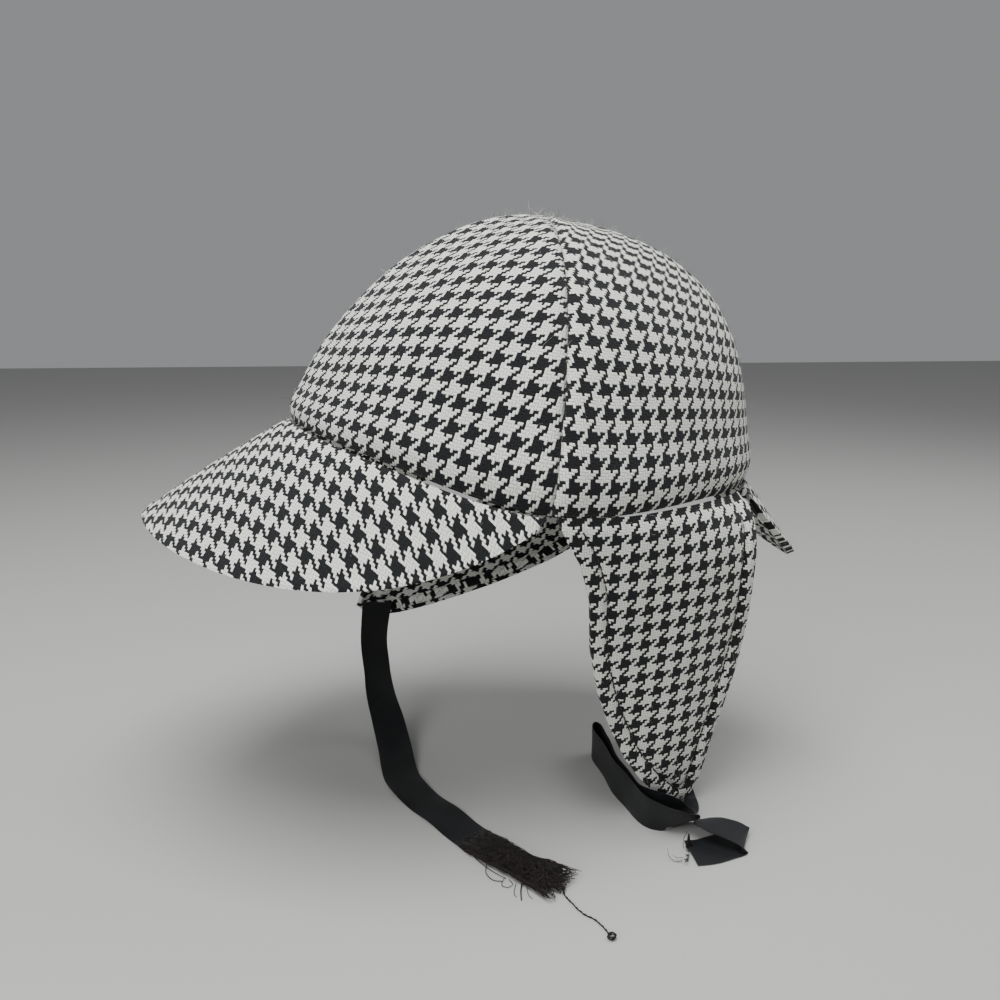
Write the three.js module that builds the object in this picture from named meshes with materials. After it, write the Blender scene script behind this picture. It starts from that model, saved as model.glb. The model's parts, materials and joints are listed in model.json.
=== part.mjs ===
// Houndstooth deerstalker hat in its worn form, in millimetres, +Z up.
// The front of the hat faces -Y and the wearer's left side is +X. The origin is the middle of the
// head opening. The hat is worn tipped back, and its two ribbons reach down to a table top.
import * as THREE from 'three';

// ---- driving sizes -------------------------------------------------------------------------
const RIM_HALF_WIDTH = 82.5; // head opening, side to side, outside the cloth
const RIM_HALF_LENGTH = 100; // head opening, front to back, outside the cloth
const RIM_ROUNDNESS = 1.75; // 2 is an ellipse, less flattens the four panels between their seams
const SIDE_DIP = 13; // the panels reach lower at the two side seams than at front and back
const CROWN_HEIGHT = 96; // from the front and back of the rim up to the peak of the crown
const TOP_FORWARD = 5.3; // the four panels meet a little forward of the middle
const TOP_SLOPE = THREE.MathUtils.degToRad(2);
const WORN_TIP = THREE.MathUtils.degToRad(8.2); // how far the hat is tipped back on the head

const CLOTH = 2; // one layer of coating wool with its turned seams
const PEAK_THICK = 3; // cloth over a stiff board
const FLAP_THICK = 2.8; // two layers stitched together
const SEAM_GAP = 0.5; // clearance between neighbouring panels
const RIM_GAP = 1.2; // clearance between the crown and what is sewn to its rim

const FRONT_PEAK = { reach: 55, fullness: 0.77, forward: 0.55, slopeMiddle: 39.7, slopeEnd: 55.5, curl: 0.15 };
const REAR_PEAK = { reach: 29.6, from: 67, to: 113, fullness: 0.55, slope: 46.8 };

const RIBBON_WIDTH = 16;
const RIBBON_THICK = 0.9;

// How the crown's profile bends at its front, side and back: the lean of the wall at the rim in
// degrees, and how far the wall and the top run straight before they turn into each other.
const PROFILE = {
  front: { lean: 9, wall: 0.46, top: 0.47 },
  side: { lean: 4, wall: 0.87, top: 0.16 },
  back: { lean: 8.6, wall: 0.75, top: 0.67 },
};

// Cut outline of an ear flap: at each drop below the rim, where its front and rear edges are,
// measured along the rim from the side seam.
const FLAP_ROWS = [
  { drop: 0, front: 1.5, rear: 100 },
  { drop: 8, front: 5, rear: 97 },
  { drop: 18, front: 11, rear: 95 },
  { drop: 33, front: 15.6, rear: 92.5 },
  { drop: 55, front: 17.5, rear: 91 },
  { drop: 75, front: 22, rear: 89 },
  { drop: 95, front: 29.5, rear: 84.5 },
  { drop: 110, front: 36.5, rear: 80.5 },
  { drop: 122, front: 44.5, rear: 78 },
  { drop: 132, front: 53, rear: 75.3 },
  { drop: 139, front: 61.5, rear: 71 },
];
const FLAP_LENGTH = FLAP_ROWS[FLAP_ROWS.length - 1].drop;

// How each flap hangs: leans in toward the neck, and lies on a flatter curve than the rim. The
// right flap is also swung forward under the cheek, which carries its tip and turns it.
const LEFT_FLAP = { side: 1, lean: 13, flatTop: 0.7, flatTip: 0.7, swing: [0, 0], turn: 0, ripple: 1.2 };
const RIGHT_FLAP = { side: -1, lean: 2, flatTop: 0.7, flatTip: 1, swing: [-137, 60], turn: 40, ripple: 2.4 };
const FLAP_SETTLE = 14; // drop over which the flap leaves the rim's curve for the flatter one
const FLAP_HEADING = THREE.MathUtils.degToRad(-5);
const FLAP_RADIUS = 213; // of the flatter curve
const RIPPLE_LENGTH = 62;

// Routes of the ribbons' middle lines, with the direction of their width at each point. The table
// top they lie on is 152.5 below the head opening.
const LEFT_RIBBON_ROUTE = [
  { x: 40.9, y: 59.8, z: -134, across: [-0.37, 0.93, 0] },
  { x: 38.4, y: 61.4, z: -142, across: [-0.36, 0.93, 0] },
  { x: 36.8, y: 62.8, z: -147.6, across: [-0.3, 0.95, 0] },
  { x: 38.6, y: 63.6, z: -151.4, across: [-0.1, 0.98, 0.05] },
  { x: 44.5, y: 62.2, z: -151.7, across: [0.3, 0.93, 0.05] },
  { x: 50, y: 59, z: -150.9, across: [0.45, 0.87, 0.2] },
  { x: 54.4, y: 55, z: -147.9, across: [0.4, 0.72, 0.5] },
  { x: 56.4, y: 51, z: -145.3, across: [0.2, 0.4, 0.85] },
  { x: 55.2, y: 47.2, z: -144.4, across: [0.1, 0.1, 0.98] },
  { x: 48.4, y: 43, z: -144.6, across: [0.1, -0.08, 0.99] },
  { x: 34, y: 40.4, z: -144.5, across: [0.02, -0.04, 1] },
  { x: 19, y: 39.2, z: -144.5, across: [0, 0, 1] },
  { x: 5, y: 39.2, z: -144.5, across: [0, 0, 1] },
  { x: -5, y: 39.6, z: -144.5, across: [0, 0, 1] },
  { x: -9.4, y: 37.4, z: -144.5, across: [0, 0, 1] },
  { x: -5, y: 34.9, z: -144.5, across: [0, 0, 1] },
  { x: 7, y: 35.3, z: -144.5, across: [0, 0, 1] },
  { x: 20, y: 36.2, z: -144.5, across: [0, 0, 1] },
  { x: 33, y: 37.6, z: -144.5, across: [0, 0, 1] },
  { x: 48, y: 40.3, z: -144.5, across: [0.03, -0.02, 1] },
  { x: 57.4, y: 43.6, z: -144.7, across: [0.15, -0.08, 0.98] },
  { x: 62.2, y: 48.2, z: -145, across: [0.3, -0.12, 0.94] },
  { x: 63.9, y: 52.4, z: -145.6, across: [0.5, -0.18, 0.85] },
  { x: 63.2, y: 57, z: -146.8, across: [0.67, -0.28, 0.69] },
  { x: 61.6, y: 61.8, z: -147.6, across: [0.77, -0.35, 0.52] },
  { x: 63.6, y: 65.6, z: -147, across: [0.86, -0.44, 0.3] },
  { x: 66.8, y: 70, z: -146.8, across: [0.87, -0.48, 0.1] },
  { x: 71.2, y: 75.6, z: -147.6, across: [0.88, -0.47, 0.02] },
  { x: 73.6, y: 79.8, z: -149.8, across: [0.88, -0.47, 0] },
  { x: 72.4, y: 77.4, z: -151.8, across: [0.88, -0.47, 0] },
  { x: 74.6, y: 70.5, z: -151.9, across: [0.92, -0.38, 0] },
  { x: 76.8, y: 63, z: -151.8, across: [0.94, -0.3, 0] },
  { x: 77.2, y: 56, z: -151.4, across: [0.92, -0.4, 0] },
];
const RIGHT_RIBBON_ROUTE = [
  { x: -54.6, y: -66, z: -87, across: [-0.4, 0.9, 0] },
  { x: -54.2, y: -67.4, z: -96, across: [-0.5, 0.86, 0] },
  { x: -54, y: -68, z: -110, across: [-0.6, 0.8, -0.05] },
  { x: -51.5, y: -67, z: -124, across: [-0.6, 0.8, -0.1] },
  { x: -45.5, y: -64.8, z: -135.5, across: [-0.45, 0.88, -0.05] },
  { x: -36, y: -61.8, z: -144.2, across: [-0.3, 0.94, 0.1] },
  { x: -22, y: -59.2, z: -149.4, across: [-0.28, 0.95, 0.14] },
  { x: -7, y: -57.7, z: -151.3, across: [-0.34, 0.93, 0.07] },
  { x: 4, y: -56, z: -151.9, across: [-0.35, 0.93, 0.03] },
  { x: 15, y: -52.4, z: -152, across: [-0.45, 0.89, 0] },
  { x: 27, y: -46, z: -152, across: [-0.52, 0.86, 0] },
  { x: 41.5, y: -37, z: -152, across: [-0.5, 0.87, 0] },
  { x: 55.5, y: -28.8, z: -152, across: [-0.5, 0.87, 0] },
];

// Frayed ends: the outer form of the loose warp threads past the last woven row.
const LEFT_FRAY_ROUTE = [
  { x: 73.2, y: 55.6, z: -150.4, across: [0.6, -0.5, -0.1], width: 6, thick: 1.3 },
  { x: 73.7, y: 54.7, z: -147.6, across: [0.6, -0.5, 0], width: 4.6, thick: 1.5 },
  { x: 74.6, y: 54.9, z: -144.8, across: [0.6, -0.4, 0], width: 2.4, thick: 1.3 },
];
const RIGHT_FRAY_ROUTE = [
  { x: 56.8, y: -28, z: -151.8, across: [-0.5, 0.87, 0], width: 16.5, thick: 1.4 },
  { x: 65.5, y: -22.4, z: -151.2, across: [-0.52, 0.85, 0], width: 16.5, thick: 2.6 },
  { x: 74, y: -16.6, z: -150.9, across: [-0.56, 0.83, 0], width: 15, thick: 3.2 },
  { x: 82, y: -9.8, z: -150.8, across: [-0.66, 0.75, 0], width: 14.5, thick: 3.4 },
  { x: 88.5, y: -2, z: -150.8, across: [-0.76, 0.65, 0], width: 14.5, thick: 3.4 },
  { x: 92.5, y: 1.2, z: -151.6, across: [-0.6, 0.8, 0], width: 1.4, thick: 1.2 },
  { x: 99.5, y: 3, z: -151.8, across: [-0.4, 0.9, 0], width: 1.2, thick: 1.1 },
  { x: 107.3, y: 6.5, z: -151.8, across: [-0.5, 0.87, 0], width: 1.2, thick: 1.1 },
  { x: 115.5, y: 11.5, z: -151.8, across: [-0.4, 0.9, 0], width: 1.2, thick: 1.1 },
  { x: 118.5, y: 12.7, z: -151.6, across: [-0.3, 0.95, 0], width: 2.6, thick: 1.6 },
  { x: 121.5, y: 13.4, z: -151.6, across: [-0.3, 0.95, 0], width: 2.6, thick: 1.6 },
];

const hat = new THREE.Group();
const wool = new THREE.MeshStandardMaterial({ color: 0x77787a, roughness: 0.95, metalness: 0 });
const ribbonSilk = new THREE.MeshStandardMaterial({ color: 0x0f1116, roughness: 0.7, metalness: 0 });
const frayThread = new THREE.MeshStandardMaterial({ color: 0x2d2020, roughness: 0.9, metalness: 0 });

// ---- small helpers -------------------------------------------------------------------------
const lerp = THREE.MathUtils.lerp;
const rad = THREE.MathUtils.degToRad;

// Tips a point of the upright hat back about the opening's cross axis, as it sits on the head.
function worn(x, y, z) {
  return new THREE.Vector3(x, y, z).applyAxisAngle(new THREE.Vector3(1, 0, 0), -WORN_TIP);
}

// Mixes the front, side and back values of one profile column for a direction around the head.
function profileAt(angle, column) {
  const share = Math.sin(angle) ** 2;
  const end = Math.sin(angle) < 0 ? PROFILE.front : PROFILE.back;
  return lerp(PROFILE.side[column], end[column], share);
}

// Closes a surface into a cloth wall: outer(u, v) is the outer face, the inner face lies a
// thickness behind it, and strips join the two along the four edges.
function clothWall(name, material, outer, columns, rows, thickness) {
  const step = 1e-3;
  const outside = [];
  const inside = [];
  for (let j = 0; j <= rows; j++) {
    for (let i = 0; i <= columns; i++) {
      const u = i / columns;
      const v = j / rows;
      const point = outer(u, v);
      const alongU = outer(Math.min(u + step, 1), v).sub(outer(Math.max(u - step, 0), v));
      const alongV = outer(u, Math.min(v + step, 1)).sub(outer(u, Math.max(v - step, 0)));
      const normal = alongU.cross(alongV).normalize();
      outside.push(point);
      inside.push(point.clone().addScaledVector(normal, -thickness));
    }
  }
  const at = (i, j) => j * (columns + 1) + i;
  const under = outside.length;
  const faces = [];
  const quad = (a, b, c, d) => faces.push(a, b, c, a, c, d);
  for (let j = 0; j < rows; j++) {
    for (let i = 0; i < columns; i++) {
      quad(at(i, j), at(i + 1, j), at(i + 1, j + 1), at(i, j + 1));
      quad(under + at(i, j), under + at(i, j + 1), under + at(i + 1, j + 1), under + at(i + 1, j));
    }
  }
  for (let i = 0; i < columns; i++) {
    quad(at(i, 0), under + at(i, 0), under + at(i + 1, 0), at(i + 1, 0));
    quad(at(i, rows), at(i + 1, rows), under + at(i + 1, rows), under + at(i, rows));
  }
  for (let j = 0; j < rows; j++) {
    quad(at(0, j), at(0, j + 1), under + at(0, j + 1), under + at(0, j));
    quad(at(columns, j), under + at(columns, j), under + at(columns, j + 1), at(columns, j + 1));
  }
  addMesh(name, material, [...outside, ...inside], faces);
}

function addMesh(name, material, points, faces) {
  const geometry = new THREE.BufferGeometry().setFromPoints(points);
  geometry.setIndex(faces);
  geometry.computeVertexNormals();
  const mesh = new THREE.Mesh(geometry, material);
  mesh.name = name;
  hat.add(mesh);
}

// ---- rim and crown -------------------------------------------------------------------------
// Rim of the head opening; angle 0 is the left side seam, 90 degrees the back, -90 the front.
function rimPoint(angle) {
  const c = Math.cos(angle);
  const s = Math.sin(angle);
  const size = (Math.abs(c) ** RIM_ROUNDNESS + Math.abs(s) ** RIM_ROUNDNESS) ** (-1 / RIM_ROUNDNESS);
  const dip = SIDE_DIP * (0.5 * c ** 2 + 0.5 * c ** 8);
  return new THREE.Vector3(RIM_HALF_WIDTH * c * size, RIM_HALF_LENGTH * s * size, -dip);
}

// Outer face of the crown: a curve from the rim (rise 0) up to the top (rise 1), leaning in.
function crownPoint(angle, rise) {
  const rim = rimPoint(angle);
  const out = new THREE.Vector2(rim.x, rim.y + TOP_FORWARD);
  const radius = out.length();
  const height = CROWN_HEIGHT - rim.z;
  const lean = rad(profileAt(angle, 'lean'));
  const wall = profileAt(angle, 'wall') * height;
  const top = profileAt(angle, 'top') * radius;
  const profile = new THREE.CubicBezierCurve(
    new THREE.Vector2(radius, rim.z),
    new THREE.Vector2(radius - wall * Math.sin(lean), rim.z + wall * Math.cos(lean)),
    new THREE.Vector2(top * Math.cos(TOP_SLOPE), CROWN_HEIGHT - top * Math.sin(TOP_SLOPE)),
    new THREE.Vector2(0, CROWN_HEIGHT),
  ).getPoint(rise);
  out.normalize().multiplyScalar(profile.x);
  return worn(out.x, out.y - TOP_FORWARD, profile.y);
}

// One of the four crown panels, between two seams, stopping just short of the others at the top.
function crownPanel(name, fromDegrees, toDegrees) {
  const lastRise = 0.965;
  const outer = (u, v) => {
    const rise = v * lastRise;
    const radius = RIM_HALF_WIDTH * (1 - rise ** 2);
    const margin = SEAM_GAP / radius;
    return crownPoint(lerp(rad(fromDegrees) + margin, rad(toDegrees) - margin, u), rise);
  };
  clothWall(name, wool, outer, 14, 12, CLOTH);
}
crownPanel('crown_panel_front_left', -90, 0);
crownPanel('crown_panel_back_left', 0, 90);
crownPanel('crown_panel_back_right', 90, 180);
crownPanel('crown_panel_front_right', 180, 270);

// ---- peaks ---------------------------------------------------------------------------------
// The front peak is a deep crescent sewn to the front half of the rim, falling away all round.
function frontPeak(u, v) {
  const end = rad(1.6);
  const angle = lerp(-Math.PI + end, -end, u);
  const bulge = Math.abs(Math.sin(angle));
  const reach = FRONT_PEAK.reach * bulge ** FRONT_PEAK.fullness;
  const rim = rimPoint(angle);
  const out = new THREE.Vector2(Math.cos(angle), Math.sin(angle)).multiplyScalar(1 - FRONT_PEAK.forward);
  out.y -= FRONT_PEAK.forward;
  out.normalize();
  const slope = Math.tan(lerp(rad(FRONT_PEAK.slopeEnd), rad(FRONT_PEAK.slopeMiddle), bulge ** 2));
  const fall = reach * slope * lerp(v, v * v, FRONT_PEAK.curl);
  return worn(rim.x + out.x * reach * v, rim.y + out.y * reach * v, rim.z - RIM_GAP - fall);
}
clothWall('front_peak', wool, (u, v) => frontPeak(u, 1 - v), 36, 6, PEAK_THICK);

// The rear peak is short and steep, and sits between the two ear flaps.
function rearPeak(u, v) {
  const angle = rad(lerp(REAR_PEAK.from, REAR_PEAK.to, u));
  const reach = 2 + (REAR_PEAK.reach - 2) * Math.sin(Math.PI * u) ** REAR_PEAK.fullness;
  const rim = rimPoint(angle);
  const fall = reach * Math.tan(rad(REAR_PEAK.slope)) * v;
  const outX = Math.cos(angle) * reach * v;
  const outY = Math.sin(angle) * reach * v;
  return worn(rim.x + outX, rim.y + outY, rim.z - RIM_GAP - fall);
}
clothWall('rear_peak', wool, (u, v) => rearPeak(u, 1 - v), 18, 4, PEAK_THICK);

// ---- ear flaps -----------------------------------------------------------------------------
// Rim of the worn hat, by its length in plan from the left side seam toward the back.
const rimByLength = (() => {
  const steps = 200;
  const places = [];
  let length = 0;
  for (let i = 0; i <= steps; i++) {
    const rim = rimPoint(rad((110 * i) / steps));
    const point = worn(rim.x, rim.y, rim.z);
    if (i > 0) length += Math.hypot(point.x - places[i - 1].point.x, point.y - places[i - 1].point.y);
    places.push({ length, point });
  }
  return (along) => {
    const next = Math.max(1, places.findIndex((place) => place.length >= along));
    const before = places[next - 1];
    const after = places[next];
    return before.point.clone().lerp(after.point, (along - before.length) / (after.length - before.length));
  };
})();

// Column of the flap's outline at any drop, read between the rows of its table.
function flapEdge(drop, column) {
  const next = Math.max(1, FLAP_ROWS.findIndex((row) => row.drop >= drop - 1e-6));
  const before = FLAP_ROWS[next - 1];
  const after = FLAP_ROWS[next];
  return lerp(before[column], after[column], (drop - before.drop) / (after.drop - before.drop));
}

// Outer face of a flap, made for the left side and mirrored to the right one.
function flapPoint(flap, u, v) {
  const drop = v * FLAP_LENGTH;
  const along = lerp(flapEdge(drop, 'front'), flapEdge(drop, 'rear'), u);
  const middle = (flapEdge(drop, 'front') + flapEdge(drop, 'rear')) / 2;
  const rim = rimByLength(along);
  const seam = rimByLength(0);
  const heading = FLAP_HEADING + along / FLAP_RADIUS;
  const centreX = seam.x - FLAP_RADIUS * Math.cos(FLAP_HEADING);
  const centreY = seam.y - FLAP_RADIUS * Math.sin(FLAP_HEADING);
  const share = lerp(flap.flatTop, flap.flatTip, v) * (1 - Math.exp(-drop / FLAP_SETTLE));
  const turn = rad(flap.turn) * v ** 1.3;
  const carried = flap.swing[0] * v ** 1.4 - (along - middle) * (1 - Math.cos(turn));
  const flatY = centreY + FLAP_RADIUS * Math.sin(heading);
  const flatX = centreX + Math.sqrt(FLAP_RADIUS ** 2 - (flatY + carried - centreY) ** 2);
  const ripple = flap.ripple * v * Math.sin((2 * Math.PI * along) / RIPPLE_LENGTH + 2 * v);
  const x = lerp(rim.x, flatX, share) - Math.sin(rad(flap.lean)) * drop + ripple;
  const y = lerp(rim.y, flatY, share) + carried;
  const lift = flap.swing[1] * v ** 1.4 - (along - middle) * Math.sin(turn);
  return new THREE.Vector3(flap.side * x, y, rim.z - RIM_GAP - Math.cos(rad(flap.lean)) * drop + lift);
}
clothWall('ear_flap_left', wool, (u, v) => flapPoint(LEFT_FLAP, u, 1 - v), 12, 20, FLAP_THICK);
clothWall('ear_flap_right', wool, (u, v) => flapPoint(RIGHT_FLAP, 1 - u, 1 - v), 12, 20, FLAP_THICK);

// ---- ribbons and their frayed ends ---------------------------------------------------------
// A flat strip along a route: the middle line is a smooth curve through the route's points, and
// the width direction turns from one point's to the next.
function strip(name, material, route, steps) {
  const middle = new THREE.CatmullRomCurve3(route.map((p) => new THREE.Vector3(p.x, p.y, p.z)));
  const wide = new THREE.CatmullRomCurve3(route.map((p) => new THREE.Vector3(...p.across)));
  const last = route.length - 1;
  const points = [];
  const faces = [];
  for (let i = 0; i <= steps; i++) {
    const t = i / steps;
    const before = route[Math.floor(t * last)];
    const after = route[Math.min(Math.floor(t * last) + 1, last)];
    const between = t * last - Math.floor(t * last);
    const width = lerp(before.width ?? RIBBON_WIDTH, after.width ?? RIBBON_WIDTH, between);
    const thick = lerp(before.thick ?? RIBBON_THICK, after.thick ?? RIBBON_THICK, between);
    const run = middle.getTangent(t);
    const across = wide.getPoint(t);
    across.addScaledVector(run, -across.dot(run)).normalize();
    const face = run.clone().cross(across);
    for (const [w, h] of [[-0.5, -0.5], [0.5, -0.5], [0.5, 0.5], [-0.5, 0.5]]) {
      points.push(middle.getPoint(t).addScaledVector(across, w * width).addScaledVector(face, h * thick));
    }
  }
  for (let i = 0; i < steps; i++) {
    for (let k = 0; k < 4; k++) {
      const a = 4 * i + k;
      const b = 4 * i + ((k + 1) % 4);
      faces.push(a, b, b + 4, a, b + 4, a + 4);
    }
  }
  const end = 4 * steps;
  faces.push(0, 2, 1, 0, 3, 2, end, end + 1, end + 2, end, end + 2, end + 3);
  addMesh(name, material, points, faces);
}
strip('ribbon_left', ribbonSilk, LEFT_RIBBON_ROUTE, 66);
strip('ribbon_right', ribbonSilk, RIGHT_RIBBON_ROUTE, 52);
strip('ribbon_fray_left', frayThread, LEFT_FRAY_ROUTE, 4);
strip('ribbon_fray_right', frayThread, RIGHT_FRAY_ROUTE, 8);

export default hat;
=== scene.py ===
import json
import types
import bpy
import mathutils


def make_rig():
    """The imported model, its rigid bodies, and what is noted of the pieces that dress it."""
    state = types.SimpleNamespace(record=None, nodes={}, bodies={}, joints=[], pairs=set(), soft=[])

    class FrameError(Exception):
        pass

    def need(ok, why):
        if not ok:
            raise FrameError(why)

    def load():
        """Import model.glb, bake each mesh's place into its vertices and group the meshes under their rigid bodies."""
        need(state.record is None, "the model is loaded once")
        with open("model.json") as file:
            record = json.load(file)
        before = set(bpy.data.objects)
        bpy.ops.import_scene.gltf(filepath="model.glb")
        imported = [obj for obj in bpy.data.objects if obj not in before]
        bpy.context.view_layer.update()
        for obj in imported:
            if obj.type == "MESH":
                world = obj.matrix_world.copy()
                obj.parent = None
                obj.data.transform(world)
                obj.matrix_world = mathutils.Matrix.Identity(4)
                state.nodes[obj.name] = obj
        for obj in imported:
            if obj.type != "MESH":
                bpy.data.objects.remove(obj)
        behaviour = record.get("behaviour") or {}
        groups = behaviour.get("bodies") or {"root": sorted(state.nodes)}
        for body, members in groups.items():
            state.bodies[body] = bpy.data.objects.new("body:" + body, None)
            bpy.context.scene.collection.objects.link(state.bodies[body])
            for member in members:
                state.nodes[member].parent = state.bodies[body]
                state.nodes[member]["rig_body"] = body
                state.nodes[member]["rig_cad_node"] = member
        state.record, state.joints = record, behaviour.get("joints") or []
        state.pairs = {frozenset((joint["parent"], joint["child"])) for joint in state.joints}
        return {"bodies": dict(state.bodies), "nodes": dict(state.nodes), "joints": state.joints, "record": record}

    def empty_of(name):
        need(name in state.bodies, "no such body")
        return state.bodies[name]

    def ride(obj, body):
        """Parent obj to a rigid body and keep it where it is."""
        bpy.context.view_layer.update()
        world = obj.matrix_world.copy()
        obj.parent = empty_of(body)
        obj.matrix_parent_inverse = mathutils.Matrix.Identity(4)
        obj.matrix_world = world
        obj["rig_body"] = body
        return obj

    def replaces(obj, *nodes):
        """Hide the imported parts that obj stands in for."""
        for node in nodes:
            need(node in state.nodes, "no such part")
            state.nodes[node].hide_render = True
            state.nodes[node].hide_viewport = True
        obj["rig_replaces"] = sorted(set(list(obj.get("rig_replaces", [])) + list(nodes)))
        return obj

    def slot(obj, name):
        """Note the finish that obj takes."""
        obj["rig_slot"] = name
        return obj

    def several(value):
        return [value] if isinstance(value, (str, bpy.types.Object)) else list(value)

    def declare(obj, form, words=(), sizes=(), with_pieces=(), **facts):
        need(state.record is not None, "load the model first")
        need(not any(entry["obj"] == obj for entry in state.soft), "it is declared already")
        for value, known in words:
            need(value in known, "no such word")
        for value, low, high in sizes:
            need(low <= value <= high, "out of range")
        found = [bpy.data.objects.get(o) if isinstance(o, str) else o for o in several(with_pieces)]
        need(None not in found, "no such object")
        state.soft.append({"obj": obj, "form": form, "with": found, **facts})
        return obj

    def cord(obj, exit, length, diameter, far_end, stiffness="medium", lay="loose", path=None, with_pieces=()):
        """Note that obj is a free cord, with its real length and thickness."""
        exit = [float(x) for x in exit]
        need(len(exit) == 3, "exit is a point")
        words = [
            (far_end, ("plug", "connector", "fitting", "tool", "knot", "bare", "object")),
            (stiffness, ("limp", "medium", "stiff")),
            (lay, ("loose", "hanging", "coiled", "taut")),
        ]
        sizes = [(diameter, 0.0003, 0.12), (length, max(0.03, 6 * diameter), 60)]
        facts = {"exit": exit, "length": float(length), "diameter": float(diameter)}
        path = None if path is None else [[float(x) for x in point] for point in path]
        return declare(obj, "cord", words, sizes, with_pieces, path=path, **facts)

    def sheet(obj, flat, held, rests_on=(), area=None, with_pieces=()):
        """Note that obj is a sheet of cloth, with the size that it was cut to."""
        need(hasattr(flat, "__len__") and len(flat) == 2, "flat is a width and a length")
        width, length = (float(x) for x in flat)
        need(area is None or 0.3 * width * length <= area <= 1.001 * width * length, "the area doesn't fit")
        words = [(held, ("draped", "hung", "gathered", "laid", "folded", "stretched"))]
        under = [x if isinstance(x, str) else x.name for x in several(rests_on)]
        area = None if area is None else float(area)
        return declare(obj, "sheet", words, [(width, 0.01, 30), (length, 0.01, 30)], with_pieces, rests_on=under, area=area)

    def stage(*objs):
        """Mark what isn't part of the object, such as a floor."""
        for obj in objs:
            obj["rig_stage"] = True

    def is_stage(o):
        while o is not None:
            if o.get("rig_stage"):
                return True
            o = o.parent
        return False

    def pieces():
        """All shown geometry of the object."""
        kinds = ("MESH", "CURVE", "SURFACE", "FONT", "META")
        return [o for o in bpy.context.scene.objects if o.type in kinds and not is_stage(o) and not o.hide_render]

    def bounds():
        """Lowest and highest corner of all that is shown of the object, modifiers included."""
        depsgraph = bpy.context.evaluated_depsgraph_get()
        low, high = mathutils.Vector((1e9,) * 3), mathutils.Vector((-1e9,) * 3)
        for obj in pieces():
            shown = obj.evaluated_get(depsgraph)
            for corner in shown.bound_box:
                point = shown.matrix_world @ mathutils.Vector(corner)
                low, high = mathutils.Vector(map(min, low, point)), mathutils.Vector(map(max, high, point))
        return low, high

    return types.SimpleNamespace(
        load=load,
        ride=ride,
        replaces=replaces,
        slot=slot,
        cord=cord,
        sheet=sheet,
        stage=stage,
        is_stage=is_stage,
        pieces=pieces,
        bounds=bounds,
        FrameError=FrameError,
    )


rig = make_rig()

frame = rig.load()
cad_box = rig.bounds()

import json
import math
import random

import bmesh
import bpy
from mathutils import Matrix, Vector, noise

# ---- Camera ------------------------------------------------------------------------------
# Stands at the wearer's left, a little above the hat, and looks across it and slightly down.
camera_turn = math.radians(7.07)
camera_drop = math.radians(12.1)
looking = Vector(
    (
        -math.cos(camera_turn) * math.cos(camera_drop),
        math.sin(camera_turn) * math.cos(camera_drop),
        -math.sin(camera_drop),
    )
)
lens = bpy.data.cameras.new("camera")
lens.sensor_width = 36
lens.lens = 32.4
lens.clip_start = 0.01
camera = bpy.data.objects.new("camera", lens)
camera.location = (0.3835, -0.0579, 0.0588)
camera.rotation_euler = looking.to_track_quat("-Z", "Y").to_euler()
bpy.context.scene.collection.objects.link(camera)
bpy.context.scene.camera = camera

# ---- Ribbon ties -------------------------------------------------------------------------
# Two lengths of black ribbon, 16 mm wide, sewn inside the flap tips. They fall to the table
# and lie there, the left one on its edge in an S with a curl at its end, the right one flat.
MM = 0.001
RIBBON_WIDTH = 16
RIBBON_THICK = 0.45


def lerp(a, b, t):
    return a + (b - a) * t


def smooth_route(points, steps):
    """Catmull-Rom through the points, with equal steps of length."""
    dense = []
    for i in range(len(points) - 1):
        p0 = points[max(i - 1, 0)]
        p1, p2 = points[i], points[i + 1]
        p3 = points[min(i + 2, len(points) - 1)]
        for k in range(24):
            t = k / 24
            dense.append(
                0.5
                * (
                    2 * p1
                    + (p2 - p0) * t
                    + (2 * p0 - 5 * p1 + 4 * p2 - p3) * t**2
                    + (3 * p1 - p0 - 3 * p2 + p3) * t**3
                )
            )
    dense.append(points[-1])
    run = [0.0]
    for a, b in zip(dense, dense[1:]):
        run.append(run[-1] + (b.xyz - a.xyz).length)
    route, k = [], 0
    for i in range(steps + 1):
        goal = run[-1] * i / steps
        while k < len(run) - 2 and run[k + 1] < goal:
            k += 1
        share = (goal - run[k]) / max(run[k + 1] - run[k], 1e-9)
        route.append(dense[k].lerp(dense[k + 1], share))
    return route, run[-1]


def finish_piece(name, mesh, material, *nodes, slot):
    """Make the mesh an object of the assembly that stands for its CAD nodes."""
    piece = bpy.data.objects.new(name, mesh)
    bpy.context.scene.collection.objects.link(piece)
    for one in material if isinstance(material, list) else [material]:
        mesh.materials.append(one)
    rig.ride(piece, "root")
    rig.slot(piece, slot)
    if nodes:
        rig.replaces(piece, *nodes)
    return piece


def shade(material_name, roughness):
    material = bpy.data.materials.new(material_name)
    material.use_nodes = True
    skin = material.node_tree.nodes["Principled BSDF"]
    skin.inputs["Roughness"].default_value = roughness
    skin.inputs["Specular IOR Level"].default_value = 0.3
    return material, material.node_tree.nodes, material.node_tree.links, skin


class Maths:
    """Short way to chain Math nodes in one material."""

    def __init__(self, nodes, links):
        self.nodes, self.links = nodes, links

    def __call__(self, operation, *values):
        node = self.nodes.new("ShaderNodeMath")
        node.operation = operation
        for socket, value in zip(node.inputs, values):
            if isinstance(value, (int, float)):
                socket.default_value = value
            else:
                self.links.new(value, socket)
        return node.outputs[0]


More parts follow.
